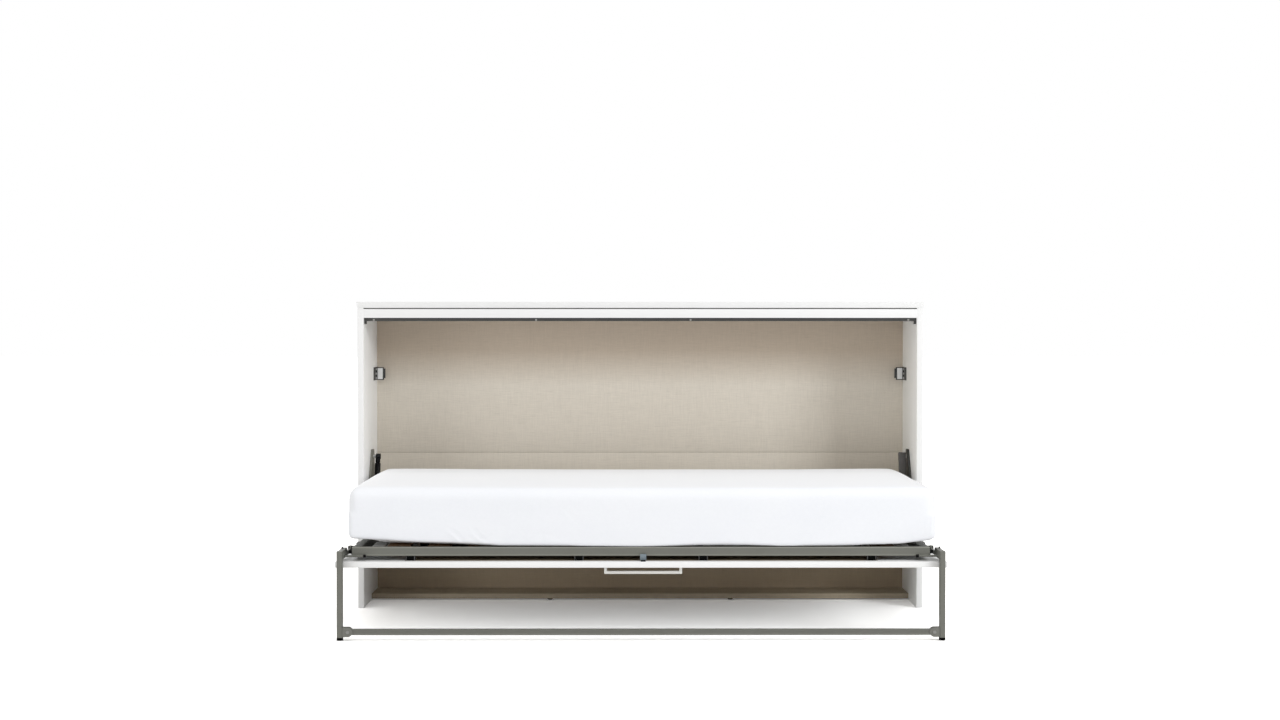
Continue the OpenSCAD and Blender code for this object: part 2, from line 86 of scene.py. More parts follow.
def add_node(tree, kind, values=None, operation=None):
    """A shader node with some of its inputs set by name."""
    node = tree.nodes.new(kind)
    if operation:
        node.operation = operation
    for name, value in (values or {}).items():
        node.inputs[name].default_value = value
    return node


def place_camera():
    """The photograph's view."""
    lens = bpy.data.cameras.new("camera")
    lens.sensor_width = SENSOR_WIDTH
    lens.lens = FOCAL_LENGTH
    lens.clip_end = FAR_LIMIT
    camera = bpy.data.objects.new("camera", lens)
    scene.collection.objects.link(camera)
    camera.location = CAMERA_PLACE
    camera.rotation_euler = (math.radians(CAMERA_TILT), 0.0, math.radians(CAMERA_TURN))
    scene.camera = camera


def add_lamp(name, kind, power, place, turn):
    """A lamp at a place, turned; returns its settings, which the caller can add to."""
    data = bpy.data.lights.new(name, kind)
    data.energy = power
    data.color = COOL
    lamp = bpy.data.objects.new(name, data)
    scene.collection.objects.link(lamp)
    lamp.location = place
    lamp.rotation_mode = "QUATERNION"
    lamp.rotation_quaternion = turn
    return data


def place_lamps():
    """Three panels in front of the bed and a very broad sun over it."""
    for name, place, aim, width, height, power in PANELS:
        turn = (Vector(aim) - Vector(place)).to_track_quat("-Z", "Y")
        panel = add_lamp(name, "AREA", power, place, turn)
        panel.shape = "RECTANGLE"
        panel.size = width
        panel.size_y = height
    turn = Vector(SUN_FROM).to_track_quat("Z", "Y")
    sun = add_lamp("overhead", "SUN", SUN_STRENGTH, (0.0, 0.0, 0.0), turn)
    sun.angle = math.radians(SUN_SPREAD)


def seen_directly(tree):
    """1 for camera, glossy and transmission rays, 0 for the rays that light things."""
    path = add_node(tree, "ShaderNodeLightPath")
    seen = path.outputs["Is Camera Ray"]
    for other in ("Is Glossy Ray", "Is Transmission Ray"):
        either = add_node(tree, "ShaderNodeMath", operation="MAXIMUM")
        tree.links.new(seen, either.inputs[0])
        tree.links.new(path.outputs[other], either.inputs[1])
        seen = either.outputs[0]
    return seen


def lit_and_seen(tree, lighting, seen, output):
    """Ends a tree with one shader for the rays that light things and one for those that see it."""
    mix = add_node(tree, "ShaderNodeMixShader")
    out = add_node(tree, output)
    tree.links.new(seen_directly(tree), mix.inputs[0])
    tree.links.new(lighting.outputs[0], mix.inputs[1])
    tree.links.new(seen.outputs[0], mix.inputs[2])
    tree.links.new(mix.outputs[0], out.inputs["Surface"])


def add_up(tree, first, second):
    """Two shaders added to each other."""
    total = add_node(tree, "ShaderNodeAddShader")
    tree.links.new(first.outputs[0], total.inputs[0])
    tree.links.new(second.outputs[0], total.inputs[1])
    return total


def matt(tree, tone):
    """A matt grey shader."""
    return add_node(tree, "ShaderNodeBsdfDiffuse", {"Color": (tone, tone, tone, 1.0)})


def white_world():
    """A world that is seen as pure white and lights things with a softer, warmer white."""
    world = bpy.data.worlds.new("studio")
    scene.world = world
    world.use_nodes = True
    tree = world.node_tree
    tree.nodes.clear()
    soft = add_node(tree, "ShaderNodeBackground", {"Strength": WORLD_STRENGTH, "Color": WORLD_TONE})
    plain = add_node(tree, "ShaderNodeBackground", {"Strength": 1.0, "Color": PURE_WHITE})
    lit_and_seen(tree, soft, plain, "ShaderNodeOutputWorld")


def studio_floor():
    """A matt floor that lights things as a pale grey one and is seen as a white one."""
    mesh = bpy.data.meshes.new("studio_floor")
    bm = bmesh.new()
    bmesh.ops.create_grid(bm, x_segments=8, y_segments=8, size=FLOOR_REACH)
    bmesh.ops.translate(bm, verts=bm.verts, vec=(0.0, 0.0, -FLOOR_DROP))
    bm.to_mesh(mesh)
    bm.free()
    floor = bpy.data.objects.new("studio_floor", mesh)
    scene.collection.objects.link(floor)
    paint = bpy.data.materials.new("studio_floor")
    paint.use_nodes = True
    tree = paint.node_tree
    tree.nodes.clear()
    # one matt shader reflects no more than it gets, so the white that is seen is two and a glow
    bright = add_up(tree, matt(tree, FLOOR_SEEN_TONE / 2), matt(tree, FLOOR_SEEN_TONE / 2))
    glow = add_node(tree, "ShaderNodeEmission", {"Color": PURE_WHITE, "Strength": FLOOR_GLOW})
    seen = add_up(tree, bright, glow)
    lit_and_seen(tree, matt(tree, FLOOR_TONE), seen, "ShaderNodeOutputMaterial")
    mesh.materials.append(paint)


place_camera()
white_world()
studio_floor()
place_lamps()


# Finishes: tones are linear red, green and blue, and the scale of a pattern is in cells per metre

UNCHANGED = (1.0, 1.0, 1.0)
SLAB_EDGE = 0.0002             # half of the width over which a slab's tone fades in
NEAR_BLACK = 0.1               # plastic darker than this hardly shines


class Finish:
    """A principled surface whose colour, roughness and relief come from patterns in object space."""

    def __init__(self, name, rough=0.5, metal=0.0, specular=0.5, sheen=0.0, coat=0.0):
        self.paint = bpy.data.materials.new(name)
        self.paint.use_nodes = True
        self.tree = self.paint.node_tree
        self.shader = self.tree.nodes["Principled BSDF"]
        values = {
            "Roughness": rough, "Metallic": metal, "Specular IOR Level": specular,
            "Sheen Weight": sheen, "Sheen Roughness": 0.4, "Coat Weight": coat, "Coat Roughness": 0.15,
        }
        for socket, value in values.items():
            self.shader.inputs[socket].default_value = value
        self.coords = add_node(self.tree, "ShaderNodeTexCoord").outputs["Object"]
        self.relief = None

    def join(self, value, socket):
        """Gives an input its value: a number, a colour or another node's output."""
        if isinstance(value, (float, tuple)):
            socket.default_value = value
        else:
            self.tree.links.new(value, socket)

    def noise(self, cells, detail=2.0, rough=0.5):
        """Noise with so many cells per metre: one number, or one each for X, Y and Z."""
        if isinstance(cells, float):
            cells = (cells, cells, cells)
        place = add_node(self.tree, "ShaderNodeMapping", {"Scale": cells})
        cloud = add_node(self.tree, "ShaderNodeTexNoise",
                         {"Scale": 1.0, "Detail": detail, "Roughness": rough})
        self.join(self.coords, place.inputs["Vector"])
        self.join(place.outputs["Vector"], cloud.inputs["Vector"])
        return cloud.outputs["Fac"]

    def both(self, operation, first, second):
        """A sum, product or other step with two values."""
        step = add_node(self.tree, "ShaderNodeMath", operation=operation)
        self.join(first, step.inputs[0])
        self.join(second, step.inputs[1])
        return step.outputs[0]

    def spread(self, value, low, high, from_low=0.3, from_high=0.7):
        """The value's range between from_low and from_high, laid over low to high."""
        step = add_node(self.tree, "ShaderNodeMapRange",
                        {"From Min": from_low, "From Max": from_high, "To Min": low, "To Max": high})
        self.join(value, step.inputs["Value"])
        return step.outputs["Result"]

    def colour(self, pattern, stops):
        """Colour from a pattern: stops are (position, (r, g, b))."""
        ramp = add_node(self.tree, "ShaderNodeValToRGB")
        points = ramp.color_ramp.elements
        while len(points) < len(stops):
            points.new(0.5)
        for point, (place, tone) in zip(points, stops):
            point.position = place
            point.color = (*tone, 1.0)
        self.join(pattern, ramp.inputs["Fac"])
        return ramp.outputs["Color"]

    def blend(self, amount, first, second, kind="MIX"):
        """Two colours mixed, the second by the amount."""
        mix = self.tree.nodes.new("ShaderNodeMix")
        mix.data_type = "RGBA"
        mix.blend_type = kind
        colours = [s for s in mix.inputs if s.type == "RGBA"]
        self.join(amount, mix.inputs["Factor"])
        self.join(first, colours[0])
        self.join(second, colours[1])
        return [s for s in mix.outputs if s.type == "RGBA"][0]

    def times(self, first, second, amount=1.0):
        """Two colours multiplied."""
        return self.blend(amount, first, second, "MULTIPLY")

    def axes(self):
        """The place in object space, as outputs named X, Y and Z."""
        apart = add_node(self.tree, "ShaderNodeSeparateXYZ")
        self.join(self.coords, apart.inputs[0])
        return apart.outputs

    def inside(self, slabs):
        """1 inside every slab (axis, low, high), 0 outside.

        The axis "X" is the distance from the middle and "x" the place along the bed.
        """
        place_of = self.axes()
        total = 1.0
        for axis, low, high in slabs:
            place = place_of[axis.upper()]
            if axis == "X":
                place = self.both("ABSOLUTE", place, 0.0)
            from_low = self.spread(place, 0.0, 1.0, low - SLAB_EDGE, low + SLAB_EDGE)
            to_high = self.spread(place, 1.0, 0.0, high - SLAB_EDGE, high + SLAB_EDGE)
            total = self.both("MULTIPLY", self.both("MULTIPLY", total, from_low), to_high)
        return total

    def paint_light_and_shade(self, value, painted_bands):
        """The colour with painted highlights and painted shade in bands: each is a share and its
        slabs; a share above 1 paints light, below 1 shade.
        """
        for share, *slabs in painted_bands:
            value = self.times(value, (share, share, share, 1.0), self.inside(slabs))
        return value

    def paint_colour(self, value):
        """The surface takes this colour."""
        self.join(value, self.shader.inputs["Base Color"])

    def roughness(self, value):
        """The surface takes this roughness."""
        self.join(value, self.shader.inputs["Roughness"])

    def bump(self, height, depth, strength=1.0):
        """Relief of so many metres; calls add up."""
        step = add_node(self.tree, "ShaderNodeBump", {"Strength": strength, "Distance": depth})
        self.join(height, step.inputs["Height"])
        if self.relief is not None:
            self.join(self.relief, step.inputs["Normal"])
        self.relief = step.outputs["Normal"]
        self.join(self.relief, self.shader.inputs["Normal"])


def scaled(tone, share):
    """A tone made darker or lighter."""
    return tuple(min(1.0, c * share) for c in tone)


def shades(tone, dark, light):
    """A darker and a lighter stop round a tone."""
    return [(0.3, scaled(tone, dark)), (0.7, scaled(tone, light))]


def laminate(name, tone, other=None, slabs=()):
    """White faced board: a very fine peel, faint cloudiness and a satin face.

    Another tone can take its place in some slabs: painted light on the sides' inner faces, painted
    shade on the door under the frame.
    """
    f = Finish(name, rough=0.42, specular=0.45)
    face = f.colour(f.noise(3.0, detail=3.0), shades(tone, 0.992, 1.008))
    # the other tone paints light on the sides' inner faces and shade on the door under the frame
    if other:
        face = f.blend(f.inside(slabs), face, (*other, 1.0))
    f.paint_colour(face)
    f.roughness(f.spread(f.noise(9.0, detail=4.0), 0.37, 0.5))
    f.bump(f.noise(1400.0, detail=1.0), 0.00002)
    return f.paint


def linen_board(name, tone, painted_shade=None):
    """Beige faced board pressed as linen: crossed threads with slubs.

    Painted shade is (start, end, shade, behind): between two heights, the start and the end, the face
    before
    Y = behind turns to the shade tone, a painted shadow.
    """
    f = Finish(name, rough=0.62, specular=0.3)
    upright = f.noise((900.0, 22.0, 22.0), detail=2.0, rough=0.6)
    level = f.noise((22.0, 900.0, 900.0), detail=2.0, rough=0.6)
    slubs = f.noise((30.0, 520.0, 520.0), detail=1.0)
    weave = f.both("ADD", f.both("MULTIPLY", upright, 0.5), f.both("MULTIPLY", level, 0.5))
    threads = f.colour(weave, [(0.36, scaled(tone, 0.92)), (0.64, scaled(tone, 1.07))])
    cloud = f.colour(f.noise((2.2, 2.2, 3.4), detail=3.0),
                     [(0.3, (0.975, 0.972, 0.968)), (0.7, UNCHANGED)])
    knots = f.colour(slubs, [(0.64, UNCHANGED), (0.76, (0.92, 0.91, 0.90))])
    cloth = f.times(f.times(threads, cloud), knots)
    if painted_shade:
        # painted shade: the room face darkens between the two heights, standing in for shadow
        start, end, shade, behind = painted_shade
        place = f.axes()
        face = f.spread(place["Y"], 1.0, 0.0, behind - 0.001, behind)
        depth = f.both("MULTIPLY", face, f.spread(place["Z"], 0.0, 1.0, start, end))
        cloth = f.times(cloth, f.colour(depth, [(0.0, UNCHANGED), (1.0, shade)]))
    f.paint_colour(cloth)
    f.roughness(f.spread(weave, 0.56, 0.7))
    f.bump(weave, 0.00012)
    return f.paint


def powder_coat(name, tone, rough=0.46, painted_bands=()):
    """Coated steel: a fine orange peel, a few lighter specks and slightly rubbed patches, with painted
    highlights and painted shade in any bands.
    """
    f = Finish(name, rough=rough, specular=0.5)
    specks = f.colour(f.noise(1900.0, detail=1.0), shades(tone, 0.88, 1.12))
    patches = f.colour(f.noise((7.0, 5.0, 11.0), detail=4.0),
                       [(0.3, (0.93, 0.93, 0.93)), (0.7, UNCHANGED)])
    f.paint_colour(f.paint_light_and_shade(f.times(specks, patches), painted_bands))
    f.roughness(f.spread(f.noise((16.0, 12.0, 22.0), detail=4.0), rough - 0.07, rough + 0.1))
    f.bump(f.noise(900.0, detail=2.0), 0.00005)
    return f.paint


def zinc(name, tone, rough=0.34):
    """Zinc plated or polished steel with fine drawn lines."""
    f = Finish(name, rough=rough, metal=1.0)
    f.paint_colour(f.colour(f.noise((60.0, 900.0, 900.0), detail=2.0), shades(tone, 0.88, 1.08)))
    f.roughness(f.spread(f.noise((40.0, 700.0, 700.0), detail=3.0), rough - 0.08, rough + 0.12))
    return f.paint


def moulded(name, tone, rough=0.55, painted_bands=()):
    """Moulded plastic with a fine spark-eroded grain, with painted highlights and painted shade in any
    bands.
    """
    f = Finish(name, rough=rough, specular=0.02 if max(tone) < NEAR_BLACK else 0.4)
    f.paint_colour(f.paint_light_and_shade(f.colour(f.noise(30.0, detail=3.0), shades(tone, 0.93, 1.08)), painted_bands))
    f.roughness(f.spread(f.noise(55.0, detail=2.0), rough - 0.08, rough + 0.08))
    f.bump(f.noise(2400.0, detail=1.0), 0.00006)
    return f.paint


def beech_slat(name):
    """Laminated beech with its grain along the slat and short dark flecks."""
    f = Finish(name, rough=0.4, specular=0.45)
    browns = [(0.28, (0.30, 0.165, 0.085)), (0.5, (0.40, 0.235, 0.125)), (0.74, (0.50, 0.31, 0.17))]
    rings = f.colour(f.noise((70.0, 2.4, 70.0), detail=4.0, rough=0.6), browns)
    flecks = f.colour(f.noise((900.0, 60.0, 900.0), detail=1.0),
                      [(0.6, UNCHANGED), (0.72, (0.62, 0.55, 0.5))])
    boards = f.colour(f.noise((7.3, 0.2, 0.2), detail=0.0),
                      [(0.3, (0.86, 0.84, 0.82)), (0.7, UNCHANGED)])
    f.paint_colour(f.times(f.times(rings, flecks), boards))
    f.roughness(f.spread(f.noise((50.0, 4.0, 50.0), detail=2.0), 0.34, 0.5))
    f.bump(f.noise((500.0, 18.0, 500.0), detail=2.0), 0.00008)
    return f.paint


def strut_lacquer(name):
    """Black stove enamel on the lift cylinders: glossy, with faint streaks along the tube."""
    f = Finish(name, rough=0.16, specular=0.12, coat=0.1)
    blacks = [(0.3, (0.004, 0.004, 0.005)), (0.7, (0.010, 0.010, 0.011))]
    f.paint_colour(f.colour(f.noise((400.0, 40.0, 12.0), detail=2.0), blacks))
    f.roughness(f.spread(f.noise((40.0, 40.0, 9.0), detail=3.0), 0.16, 0.34))
    return f.paint


def cotton(name):
    """White cotton sheet: a fine plain weave, soft sheen and faint unevenness."""
    f = Finish(name, rough=0.86, specular=0.2, sheen=0.58)
    across = f.noise((1300.0, 90.0, 90.0), detail=2.0)
    along = f.noise((90.0, 1300.0, 90.0), detail=2.0)
    up = f.noise((90.0, 90.0, 1300.0), detail=2.0)
    weave = f.both("MULTIPLY", f.both("ADD", across, f.both("ADD", along, up)), 0.3333)
    threads = f.colour(weave, [(0.38, (0.766, 0.780, 0.818)), (0.62, (0.786, 0.800, 0.838))])
    soft = f.colour(f.noise((5.0, 5.0, 9.0), detail=3.0),
                    [(0.3, (0.982, 0.984, 0.99)), (0.7, UNCHANGED)])
    f.paint_colour(f.times(threads, soft))
    f.roughness(f.spread(weave, 0.8, 0.92))
    f.bump(weave, 0.00006)
    f.bump(f.noise((26.0, 26.0, 30.0), detail=3.0, rough=0.55), 0.0016, 0.35)
    return f.paint


def middle_y(node):
    """How far back the middle of a CAD node lies."""
    low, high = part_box(node)
    return (low[1] + high[1]) / 2


BEIGE = (0.715, 0.66, 0.575)
WHITE = (0.765, 0.768, 0.772)
WARM_GREY = (0.119, 0.120, 0.104)
# Function, tone, and roughness where it is not the usual one.
SLOT_FINISHES = {
    "white_board": (laminate, WHITE),
    "beige_board": (linen_board, BEIGE),
    "gap_shadow": (moulded, (0.10, 0.10, 0.10), 0.7),
    "grey_frame": (powder_coat, WARM_GREY),
    "dark_steel": (powder_coat, (0.026, 0.026, 0.024), 0.42),
    "light_bar": (powder_coat, (0.55, 0.55, 0.53), 0.5),
    "bright_steel": (zinc, (0.66, 0.66, 0.65)),
    "strut_black": (strut_lacquer,),
    "strut_rod": (zinc, (0.74, 0.74, 0.75), 0.14),
    "black_plastic": (moulded, (0.006, 0.006, 0.006), 0.55),
    "dark_plastic": (moulded, (0.05, 0.05, 0.05), 0.55),
    "white_plastic": (moulded, (0.82, 0.82, 0.81), 0.45),
    "cover_plate": (powder_coat, (0.075, 0.070, 0.066), 0.4),
    "catch_grey": (moulded, (0.17, 0.21, 0.24), 0.4),
    "pad_rubber": (moulded, (0.015, 0.015, 0.015), 0.75),
    "handle_cream": (powder_coat, (0.74, 0.735, 0.70), 0.4),
    "beech": (beech_slat,),
}

# Where a tone changes with the place on a node, as the photograph shows it, it is painted light and
# shade. The face of the back that looks into the room has painted shade towards its top, under the top
# board and fascia, and below the bed (see linen_board).
UPPER_PAINTED_SHADE = (0.82, 0.96, (0.74, 0.675, 0.62), middle_y("back_upper"))
LOWER_PAINTED_SHADE = (0.35, 0.22, (0.585, 0.505, 0.41), middle_y("back_lower"))
# The others are slabs (see Finish.inside): painted shade on the door's face under the frame, painted
# light on the sides' faces inside the cabinet, painted shade on the plate on the right, and painted
# highlights along the edges of tubes.
UNDER_FRAME_PAINTED_SHADE = (("X", -1.0, 0.80), ("Y", -0.5175, 1.0), ("Z", 0.2602, 0.4))
INNER_FACES_PAINTED_LIGHT = (("X", 0.0, 1.0335),)
RIGHT_PLATE_PAINTED_SHADE = ("x", 0.0, 2.0)
RAIL_TOP_PAINTED_HIGHLIGHT = ("Z", 0.3035, 0.32)
RAIL_FOOT_PAINTED_HIGHLIGHT = ("Z", 0.2, 0.2830)
BAR_PAINTED_HIGHLIGHT = ("Z", 0.0205, 0.0240)
# Painted highlights at the ends of the black spacers.
SPACER_ENDS = (0.1949, 0.2229, 0.7649, 0.7929)
SPACER_HIGHLIGHT_WIDTH = 0.0022
SPACER_PAINTED_HIGHLIGHTS = [(45.0, ("X", x, x + SPACER_HIGHLIGHT_WIDTH)) for x in SPACER_ENDS]
# Function, name of the material, tone, and what else the function takes.
OWN_FINISHES = {
    # painted shade towards the top of the back and below the bed
    "back_upper": (linen_board, "upper_beige", BEIGE, UPPER_PAINTED_SHADE),
    "back_lower": (linen_board, "lower_beige", BEIGE, LOWER_PAINTED_SHADE),
    # painted shade: a darker, warmer beige for the base board, which lies in the shadow under the bed
    "base_board": (linen_board, "base_beige", (0.41, 0.345, 0.255)),
    # painted shade: dark brown on the door's face under the frame
    "door_panel": (laminate, "door_faces", WHITE, (0.30, 0.24, 0.17), UNDER_FRAME_PAINTED_SHADE),
    # painted light: the sides' faces inside the cabinet are whiter than the board
    "side_left": (laminate, "side_faces_left", WHITE, (0.96, 0.962, 0.955), INNER_FACES_PAINTED_LIGHT),
    "side_right": (laminate, "side_faces_right", WHITE, (0.96, 0.962, 0.94), INNER_FACES_PAINTED_LIGHT),
    # painted shade on the plate on the right
    "lift_plates": (powder_coat, "lift_plates", (0.19, 0.185, 0.16), 0.46, [(0.12, RIGHT_PLATE_PAINTED_SHADE)]),
    # painted highlights along the rail's top and bottom edges
    "front_rail": (powder_coat, "front_rail", WARM_GREY, 0.46, [(1.75, RAIL_TOP_PAINTED_HIGHLIGHT), (1.4, RAIL_FOOT_PAINTED_HIGHLIGHT)]),
    # painted highlight along the bar's top edge
    "cross_bar": (powder_coat, "cross_bar", (0.105, 0.106, 0.092), 0.46, [(1.3, BAR_PAINTED_HIGHLIGHT)]),
    # painted highlights at the spacers' ends
    "spacers": (moulded, "spacers", (0.002, 0.002, 0.002), 0.6, SPACER_PAINTED_HIGHLIGHTS),
    "bar_brackets": (powder_coat, "bar_brackets", (0.14, 0.14, 0.125), 0.5),
    "rail_screws": (moulded, "rail_screws", (0.30, 0.30, 0.28), 0.5),
    "bar_bolts": (powder_coat, "bar_bolts", (0.22, 0.22, 0.21), 0.5),
}


def paint_nodes():
    """Every rigid CAD node gets its own finish, or else the one of its slot."""
    by_slot = {slot: make(slot, *values) for slot, (make, *values) in SLOT_FINISHES.items()}
    by_node = {node: make(*values) for node, (make, *values) in OWN_FINISHES.items()}
    for part in frame["record"]["subparts"]:
        slot = part["material_slot"]
        if slot in by_slot:
            mesh = nodes[part["node"]].data
            mesh.materials.clear()
            mesh.materials.append(by_node.get(part["node"], by_slot[slot]))


paint_nodes()


# Boards and fittings get their real edges: the width of each easing. The width is nothing on
# drawn tubes, slats and turned or small moulded parts, which only get smooth curves.

EASED = {
    "side_left": 0.0009, "side_right": 0.0009, "top_board": 0.0011, "fascia": 0.0009,
    "back_upper": 0.0005, "back_lower": 0.0005, "base_board": 0.0007, "door_panel": 0.0011,
    "handle": 0.0016, "spacers": 0.0010, "catch_body": 0.0012, "catch_pad": 0.0006,
    "tube_caps": 0.0008, "end_bars": 0.0006, "wall_brackets": 0.0004, "bracket_inserts": 0.0005,
    "bar_brackets": 0.0006, "stop_rail": 0.0004, "lift_plates": 0.0007, "strut_cover": 0.0005,
    "slats": 0.0, "front_rail": 0.0, "rear_rail": 0.0, "end_rails": 0.0, "centre_rail": 0.0,
    "cross_bar": 0.0, "leg_left": 0.0, "leg_right": 0.0, "foot_caps": 0.0, "leg_hinges": 0.0,
    "leg_hooks": 0.0, "leg_stops": 0.0, "stop_tips": 0.0, "cylinder_left": 0.0,
    "cylinder_right": 0.0, "rod_left": 0.0, "rod_right": 0.0, "upper_studs": 0.0,
    "lower_studs": 0.0, "pivot_bosses": 0.0, "pivot_pins": 0.0,
}
SAME_PLACE = 0.00001                # points nearer to each other than this are one
FLAT_ANGLE = math.radians(1.0)      # facets that turn less are one face
CORNER_ANGLE = math.radians(40)     # edges that turn more are eased
SHARP_ANGLE = math.radians(32.0)    # edges that turn more stay sharp to the eye


def smooth_faces(mesh):
    """Shades every face of a mesh as part of a curve."""
    for face in mesh.polygons:
        face.use_smooth = True


def eased(node, width):
    """A copy of a solid with its corners eased, or only smooth where the width is nothing."""
    bm = bmesh.new()
    bm.from_mesh(nodes[node].data)
    bmesh.ops.remove_doubles(bm, verts=bm.verts, dist=SAME_PLACE)
    if width:
        bmesh.ops.dissolve_limit(bm, angle_limit=FLAT_ANGLE, verts=bm.verts, edges=bm.edges)
        corners = [edge for edge in bm.edges
                   if len(edge.link_faces) == 2 and edge.calc_face_angle(0.0) > CORNER_ANGLE]
        bmesh.ops.bevel(bm, geom=corners, offset=width, offset_type="OFFSET", affect="EDGES",
                        segments=3, profile=0.5, clamp_overlap=True, material=-1)
    mesh = bpy.data.meshes.new(node + "_finished")
    bm.to_mesh(mesh)
    bm.free()
    smooth_faces(mesh)
    mesh.set_sharp_from_angle(angle=SHARP_ANGLE)
    for paint in nodes[node].data.materials:
        mesh.materials.append(paint)
    piece = bpy.data.objects.new(node + "_finished", mesh)
    scene.collection.objects.link(piece)
    return piece


riding = {node: body for body, held in frame["record"]["behaviour"]["bodies"].items() for node in held}
for part in frame["record"]["subparts"]:
    node = part["node"]
    if node in EASED:
        piece = eased(node, EASED[node])
        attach(piece, riding[node])
        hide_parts(node)


# Mattress in its fitted sheet

LOW_INSET = (0.001, 0.001, 0.0003)      # how far the sheet starts inside the solid's low corner
HIGH_INSET = (0.001, 0.003, -0.001)     # the same at its high corner: the top starts above it
CELLS = (140, 64, 16)                   # along X, Y and Z
ALONG_AXIS = 0.99                       # least share of its length that an edge has along an axis
TOP_ROUND = (0.034, 0.040, 0.042)       # radii above: along X, Y and Z
RIGHT_ROUND = 0.042                     # along X at the right end, which is softer above
LOW_ROUND = (0.026, 0.008, 0.009)       # radii below
CORNER_ROUND = 0.018                    # height of the lower roundness at the ends
CROWN = 0.010                           # how much higher the top is in its middle
CROWN_END = 30                          # the higher, the nearer to the ends the crown reaches
END_BULGE = 0.004                       # how far the ends stand out between their corners
WIDER_LEFT = 0.004                      # how far the front corners stand out
WIDER_RIGHT = 0.011
HEM_REACH = 0.13                        # how far in from the long sides the hem is drawn up
END_LIFT = 0.020                        # how far it is drawn up at the ends
# distance from the middle where each of these sets in, and the length over which it grows
CORNER_ROUND_ZONE = (0.92, 0.06)
END_LIFT_ZONE = (0.86, 0.13)
END_BULGE_ZONE = (0.90, 0.08)
WIDER_ZONE = (0.80, 0.18)
FRONT_ZONE = (0.15, 0.7)                # as shares of half the mattress's width
# distance from the middle, and how far the hem is drawn up there on the left and the right
HEM_RISE = (
    (0.0, -0.003, -0.003), (0.274, 0.000, 0.004), (0.477, 0.001, -0.001), (0.646, 0.009, 0.000),
    (0.740, 0.011, 0.002), (0.815, 0.015, 0.003), (0.874, 0.020, 0.005), (0.920, 0.022, 0.011),
    (0.985, 0.022, 0.018),
)

HELD_HEIGHT = 0.002                     # the sheet up to here lies on the slats and stays
FULLNESS = 0.0025                       # the most that the stuffing may push the sheet out
CLOTH_STEPS = 20

FLAT_HEIGHT = 0.004                     # the underside up to here has no creases
DOWNWARD = -0.8                         # the Z of a normal that belongs to the underside
STEEP = 0.85                            # faces steeper than this have gathers, fading in over
STEEP_FADE = 0.5                        # this much of a normal's Z
GATHER_TOP = 0.42                       # share of the height where the gathers end
GATHER_FADE = 0.40                      # share of the height over which they fade
CORNER_ENDS = (0.80, 0.19)              # where the corners set in: along X, and along Y
CORNER_SIDES = (0.30, 0.14)
# height of the relief, and its cells per metre along X, Y and Z
GATHER = 0.0016
GATHER_CELLS = (24.0, 24.0, 5.0)
FINE_GATHER = 0.0006
FINE_CELLS = (55.2, 55.2, 9.0)
SLACK = 0.0005                          # the slow waves over the whole sheet
SLACK_CELLS = (5.0, 5.0, 9.0)
PATCH_CELLS = (3.1, 3.1, 0.0)           # patches with stronger and weaker gathers
PATCH_CONTRAST = 1.4
# strength of the gathers everywhere, and what a patch and a corner add
GATHER_LEAST = 0.25
GATHER_IN_PATCH = 0.9
GATHER_IN_CORNER = 1.2

# pulled folds on the front of the sheet: start and end in X and Z, depth and half width
FOLDS = (
    (-0.655, 0.372, -0.600, 0.322, 0.0036, 0.0055),
    (-0.580, 0.372, -0.520, 0.322, 0.0034, 0.0055),
    (-0.632, 0.345, -0.612, 0.326, 0.0010, 0.0040),
    (-0.548, 0.345, -0.508, 0.320, 0.0010, 0.0045),
    (-0.268, 0.442, -0.210, 0.388, 0.0004, 0.0065),
    (-0.240, 0.413, -0.160, 0.347, 0.0004, 0.0070),
    (-0.200, 0.398, -0.122, 0.343, 0.0003, 0.0070),
    (-0.136, 0.478, -0.092, 0.436, 0.0003, 0.0060),
    (-0.345, 0.352, -0.270, 0.330, 0.0008, 0.0060),
    (-0.072, 0.452, -0.030, 0.410, 0.0005, 0.0070),
    (0.868, 0.330, 0.976, 0.352, 0.0004, 0.0060),
    (0.250, 0.330, 0.330, 0.352, 0.0005, 0.0080),
    (-0.905, 0.340, -0.840, 0.330, 0.0005, 0.0060),
    (0.560, 0.330, 0.655, 0.345, 0.0005, 0.0080),
)
FACING_FRONT = (0.3, 0.4)               # -Y of a normal where folds set in and how they grow
RUN_OUT = 0.1                           # share of its length that a fold runs on past each end
FADE_IN = 0.5                           # shares of its length over which it starts and ends
FADE_OUT = 0.45
WANDER = 0.003                          # how far a fold strays from its line
WANDER_ANGLE = 5.0                      # radians of that wave along a fold
WANDER_SHIFT = 40.0                     # so that each fold has its own part of the wave
# the ridge beside the furrow: its height as a share of the depth, and its place and half width
# as shares of the furrow's half width
RIDGE_SHARE = 0.8
RIDGE_PLACE = 1.3
RIDGE_WIDTH = 1.2


def cut_along(bm, axis, count):
    """Cuts every edge that runs along one axis into so many pieces."""
    edges = [edge for edge in bm.edges
             if abs((edge.verts[0].co - edge.verts[1].co).normalized()[axis]) > ALONG_AXIS]
    bmesh.ops.subdivide_edges(bm, edges=edges, cuts=count - 1, use_grid_fill=True)


def ball(v):
    """A point on a cube's surface moved on to the ball inside it, evenly spread."""
    x, y, z = (c * c for c in v)
    return Vector((v[0] * math.sqrt(max(0.0, 1 - y / 2 - z / 2 + y * z / 3)),
                   v[1] * math.sqrt(max(0.0, 1 - z / 2 - x / 2 + z * x / 3)),
                   v[2] * math.sqrt(max(0.0, 1 - x / 2 - y / 2 + x * y / 3))))


def smooth(t):
    """0 up to t = 0, 1 from t = 1 on, and an S curve between."""
    t = min(1.0, max(0.0, t))
    return t * t * (3.0 - 2.0 * t)


def rise(value, start, length):
    """0 up to the start and 1 once the length is behind, with an S curve between."""
    return smooth((value - start) / length)


